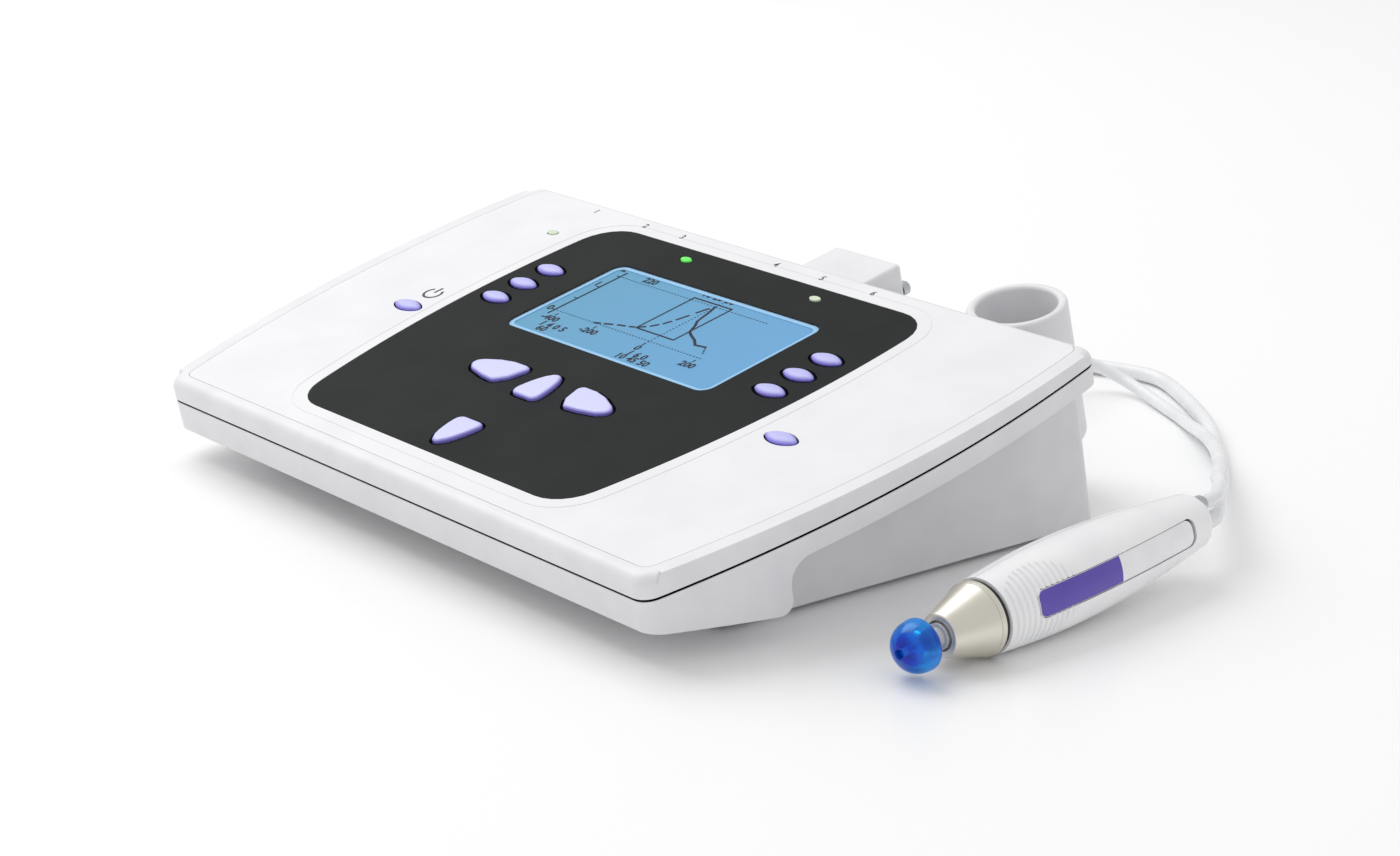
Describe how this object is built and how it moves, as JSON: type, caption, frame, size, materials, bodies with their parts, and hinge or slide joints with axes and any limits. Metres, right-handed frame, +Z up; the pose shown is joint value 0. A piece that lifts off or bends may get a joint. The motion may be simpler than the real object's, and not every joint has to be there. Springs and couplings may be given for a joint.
{
  "type": "tympanometer",
  "caption": "Desktop tympanometer: a sloping console with soft keys round a blue screen, and a hand probe with a soft ear tip on an electric lead and an air tube.",
  "frame": {"origin": "middle of the underside of the console and probe together, leads and plugs left out, on the table", "axes": "+X across the console to the user's right, +Y from the user to the rear ports, +Z up"},
  "size_m": [0.316, 0.313, 0.0664],
  "materials": {
    "white_abs": "fine matt moulded ABS",
    "overlay_white": "satin printed polyester sheet",
    "panel_charcoal": "satin printed polyester sheet",
    "key_lavender": "satin coloured silicone",
    "lcd_blue": "backlit blue liquid crystal screen",
    "clear_window": "clear polyester",
    "clear_plastic": "clear moulded polycarbonate",
    "light_green": "translucent green acrylic",
    "board_green": "green solder mask",
    "satin_nickel": "satin nickel plate",
    "screw_steel": "bright zinc plate",
    "black_plastic": "moulded black plastic",
    "black_rubber": "black rubber",
    "grey_plastic": "grey plastic",
    "ear_tip_blue": "translucent royal-blue silicone",
    "lead_grey": "light grey cable sheath"
  },
  "bodies": {
    "console": {"top_cover": "white_abs", "bottom_case": "white_abs", "probe_cup": "white_abs", "overlay_sheet": "overlay_white", "keypad_panel": "panel_charcoal", "display_window": "clear_window", "lcd_module": "lcd_blue", "light_left": "light_green", "light_right": "light_green", "light_power": "light_green", "key_mat": "grey_plastic", "key_board": "board_green", "main_board": "board_green", "air_pump": "grey_plastic", "dc_jack": "black_plastic", "usb_port": "screw_steel", "printer_port": "black_plastic", "contra_jack": "black_plastic", "air_port": "satin_nickel", "air_plug": "grey_plastic", "probe_socket": "black_plastic", "probe_plug_hood": "white_abs", "probe_body_left": "white_abs", "probe_body_right": "white_abs", "probe_label": "grey_plastic", "nose_seal": "black_rubber", "probe_tip": "clear_plastic", "probe_core": "black_plastic", "tail_fitting": "lead_grey", "lead_from_plug": "lead_grey", "lead_coil": "lead_grey", "lead_to_probe": "lead_grey", "air_tube_from_console": "lead_grey", "air_tube_coil": "lead_grey", "air_tube_to_probe": "lead_grey", "case_screw_front_left": "screw_steel", "foot_front_left": "black_rubber", "case_screw_front_right": "screw_steel", "foot_front_right": "black_rubber", "case_screw_rear_left": "screw_steel", "foot_rear_left": "black_rubber", "case_screw_rear_right": "screw_steel", "foot_rear_right": "black_rubber"},
    "key_power": {"key_power": "key_lavender"},
    "key_display_mode": {"key_display_mode": "key_lavender"},
    "key_left_1": {"key_left_1": "key_lavender"},
    "key_left_2": {"key_left_2": "key_lavender"},
    "key_left_3": {"key_left_3": "key_lavender"},
    "key_right_1": {"key_right_1": "key_lavender"},
    "key_right_2": {"key_right_2": "key_lavender"},
    "key_right_3": {"key_right_3": "key_lavender"},
    "key_up": {"key_up": "key_lavender"},
    "key_down": {"key_down": "key_lavender"},
    "key_back": {"key_back": "key_lavender"},
    "key_next": {"key_next": "key_lavender"},
    "ear_tip": {"ear_tip": "ear_tip_blue"},
    "nose_cone": {"nose_cone": "satin_nickel"},
    "pump_crank": {"pump_crank": "screw_steel"},
    "plug_screw_left": {"plug_screw_left": "screw_steel"},
    "plug_screw_right": {"plug_screw_right": "screw_steel"}
  },
  "joints": [
    {"name": "key_power_press", "type": "slide", "parent": "console", "child": "key_power", "axis": [0, 0.2198, -0.9755], "range_m": [0, 0.0009], "stiffness_N_per_m": 600, "springref_m": -0.0004},
    {"name": "key_display_mode_press", "type": "slide", "parent": "console", "child": "key_display_mode", "axis": [0, 0.2198, -0.9755], "range_m": [0, 0.0009], "stiffness_N_per_m": 600, "springref_m": -0.0004},
    {"name": "key_left_1_press", "type": "slide", "parent": "console", "child": "key_left_1", "axis": [0, 0.2198, -0.9755], "range_m": [0, 0.0009], "stiffness_N_per_m": 600, "springref_m": -0.0004},
    {"name": "key_left_2_press", "type": "slide", "parent": "console", "child": "key_left_2", "axis": [0, 0.2198, -0.9755], "range_m": [0, 0.0009], "stiffness_N_per_m": 600, "springref_m": -0.0004},
    {"name": "key_left_3_press", "type": "slide", "parent": "console", "child": "key_left_3", "axis": [0, 0.2198, -0.9755], "range_m": [0, 0.0009], "stiffness_N_per_m": 600, "springref_m": -0.0004},
    {"name": "key_right_1_press", "type": "slide", "parent": "console", "child": "key_right_1", "axis": [0, 0.2198, -0.9755], "range_m": [0, 0.0009], "stiffness_N_per_m": 600, "springref_m": -0.0004},
    {"name": "key_right_2_press", "type": "slide", "parent": "console", "child": "key_right_2", "axis": [0, 0.2198, -0.9755], "range_m": [0, 0.0009], "stiffness_N_per_m": 600, "springref_m": -0.0004},
    {"name": "key_right_3_press", "type": "slide", "parent": "console", "child": "key_right_3", "axis": [0, 0.2198, -0.9755], "range_m": [0, 0.0009], "stiffness_N_per_m": 600, "springref_m": -0.0004},
    {"name": "key_up_press", "type": "slide", "parent": "console", "child": "key_up", "axis": [0, 0.2198, -0.9755], "range_m": [0, 0.0009], "stiffness_N_per_m": 600, "springref_m": -0.0004},
    {"name": "key_down_press", "type": "slide", "parent": "console", "child": "key_down", "axis": [0, 0.2198, -0.9755], "range_m": [0, 0.0009], "stiffness_N_per_m": 600, "springref_m": -0.0004},
    {"name": "key_back_press", "type": "slide", "parent": "console", "child": "key_back", "axis": [0, 0.2198, -0.9755], "range_m": [0, 0.0009], "stiffness_N_per_m": 600, "springref_m": -0.0004},
    {"name": "key_next_press", "type": "slide", "parent": "console", "child": "key_next", "axis": [0, 0.2198, -0.9755], "range_m": [0, 0.0009], "stiffness_N_per_m": 600, "springref_m": -0.0004},
    {"name": "ear_tip_pull_off", "type": "slide", "parent": "console", "child": "ear_tip", "axis": [0.0348, -0.9972, -0.0663], "range_m": [0, 0.012]},
    {"name": "nose_cone_unscrew", "type": "hinge", "parent": "console", "child": "nose_cone", "pos_m": [0.146, -0.02708, 0.01135], "axis": [0.0348, -0.9972, -0.0663], "range_deg": [0, 720]},
    {"name": "pump_crank_turn", "type": "hinge", "parent": "console", "child": "pump_crank", "pos_m": [-0.06252, -0.03619, 0.01615], "axis": [1, 0, 0], "continuous": true},
    {"name": "plug_screw_left_turn", "type": "hinge", "parent": "console", "child": "plug_screw_left", "pos_m": [-0.03512, 0.09378, 0.04892], "axis": [0, 0.9755, 0.2198], "continuous": true},
    {"name": "plug_screw_right_turn", "type": "hinge", "parent": "console", "child": "plug_screw_right", "pos_m": [-0.00992, 0.09378, 0.04892], "axis": [0, 0.9755, 0.2198], "continuous": true}
  ]
}
